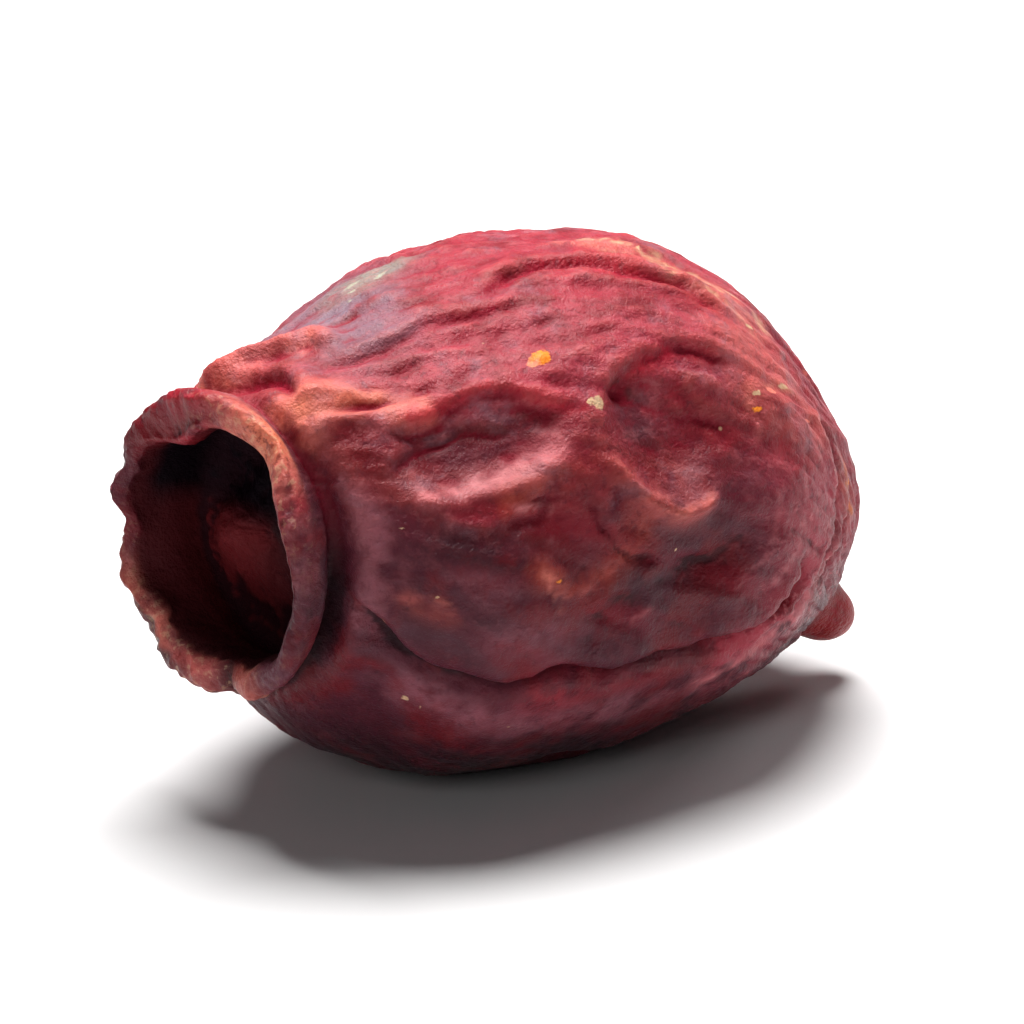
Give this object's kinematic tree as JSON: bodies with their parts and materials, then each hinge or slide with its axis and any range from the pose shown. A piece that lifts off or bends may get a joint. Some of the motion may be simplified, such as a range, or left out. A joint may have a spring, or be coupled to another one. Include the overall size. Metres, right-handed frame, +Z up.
{
  "type": "hawthorn berry",
  "caption": "Shrivelled dried berry with a folded, wrinkled skin, an open calyx cup at one end and a short stalk nub at the other.",
  "frame": {"origin": "bottom centre of the bounding box, on the surface that the berry lies on", "axes": "+X along the berry from its calyx cup towards its stalk end, +Z up as it lies, and -Y is the side with the eye-like folds"},
  "size_m": [0.012, 0.0086, 0.0081],
  "materials": {
    "skin": "dried fruit skin, dark red, satin"
  },
  "bodies": {
    "root": {"berry": "skin"}
  },
  "joints": []
}
